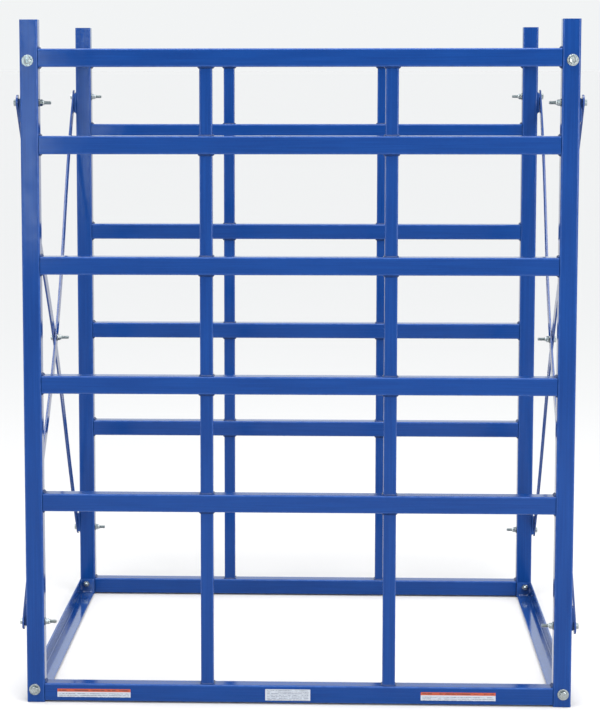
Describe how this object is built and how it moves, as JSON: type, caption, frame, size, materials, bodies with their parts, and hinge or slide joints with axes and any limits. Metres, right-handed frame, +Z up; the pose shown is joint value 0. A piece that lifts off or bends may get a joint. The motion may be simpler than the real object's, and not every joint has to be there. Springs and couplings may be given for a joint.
{
  "type": "bar and lumber storage rack",
  "caption": "Free-standing bolted steel rack of two square-tube ladder frames, with tiers of open bays for long boards, bars and tubes.",
  "frame": {"origin": "on the floor, at the centre of the rack's footprint", "axes": "+X to the right as seen from the front, +Y from the front frame to the rear frame, +Z up; the labelled face of the lowest front beam faces -Y"},
  "size_m": [1.2514, 1.1242, 1.524],
  "materials": {
    "posts": "gloss blue powder coat on square steel tube",
    "beams": "gloss blue powder coat on square steel tube",
    "dividers": "gloss blue powder coat on square steel tube",
    "side_angles": "gloss blue powder coat on steel angle",
    "braces": "gloss blue powder coat on flat steel bar",
    "fasteners": "bright zinc plate"
  },
  "bodies": {
    "root": {"post_front_left": "posts", "post_front_right": "posts", "post_rear_left": "posts", "post_rear_right": "posts", "beam_front_1": "beams", "beam_front_2": "beams", "beam_front_3": "beams", "beam_front_4": "beams", "beam_front_5": "beams", "beam_front_6": "beams", "beam_rear_1": "beams", "beam_rear_2": "beams", "beam_rear_3": "beams", "beam_rear_4": "beams", "beam_rear_5": "beams", "beam_rear_6": "beams", "divider_front_left_1": "dividers", "divider_front_left_2": "dividers", "divider_front_left_3": "dividers", "divider_front_left_4": "dividers", "divider_front_left_5": "dividers", "divider_front_right_1": "dividers", "divider_front_right_2": "dividers", "divider_front_right_3": "dividers", "divider_front_right_4": "dividers", "divider_front_right_5": "dividers", "divider_rear_left_1": "dividers", "divider_rear_left_2": "dividers", "divider_rear_left_3": "dividers", "divider_rear_left_4": "dividers", "divider_rear_left_5": "dividers", "divider_rear_right_1": "dividers", "divider_rear_right_2": "dividers", "divider_rear_right_3": "dividers", "divider_rear_right_4": "dividers", "divider_rear_right_5": "dividers", "side_angle_lower_left": "side_angles", "side_angle_lower_right": "side_angles", "side_angle_upper_left": "side_angles", "side_angle_upper_right": "side_angles", "brace_left_outer": "braces", "brace_left_inner": "braces", "brace_right_outer": "braces", "brace_right_inner": "braces", "corner_bolt_front_left_lower": "fasteners", "corner_bolt_front_left_upper": "fasteners", "corner_bolt_front_right_lower": "fasteners", "corner_bolt_front_right_upper": "fasteners", "corner_bolt_rear_left_lower": "fasteners", "corner_bolt_rear_left_upper": "fasteners", "corner_bolt_rear_right_lower": "fasteners", "corner_bolt_rear_right_upper": "fasteners", "brace_bolt_front_left_lower": "fasteners", "brace_bolt_front_left_upper": "fasteners", "brace_bolt_front_right_lower": "fasteners", "brace_bolt_front_right_upper": "fasteners", "brace_bolt_rear_left_lower": "fasteners", "brace_bolt_rear_left_upper": "fasteners", "brace_bolt_rear_right_lower": "fasteners", "brace_bolt_rear_right_upper": "fasteners"}
  },
  "joints": []
}
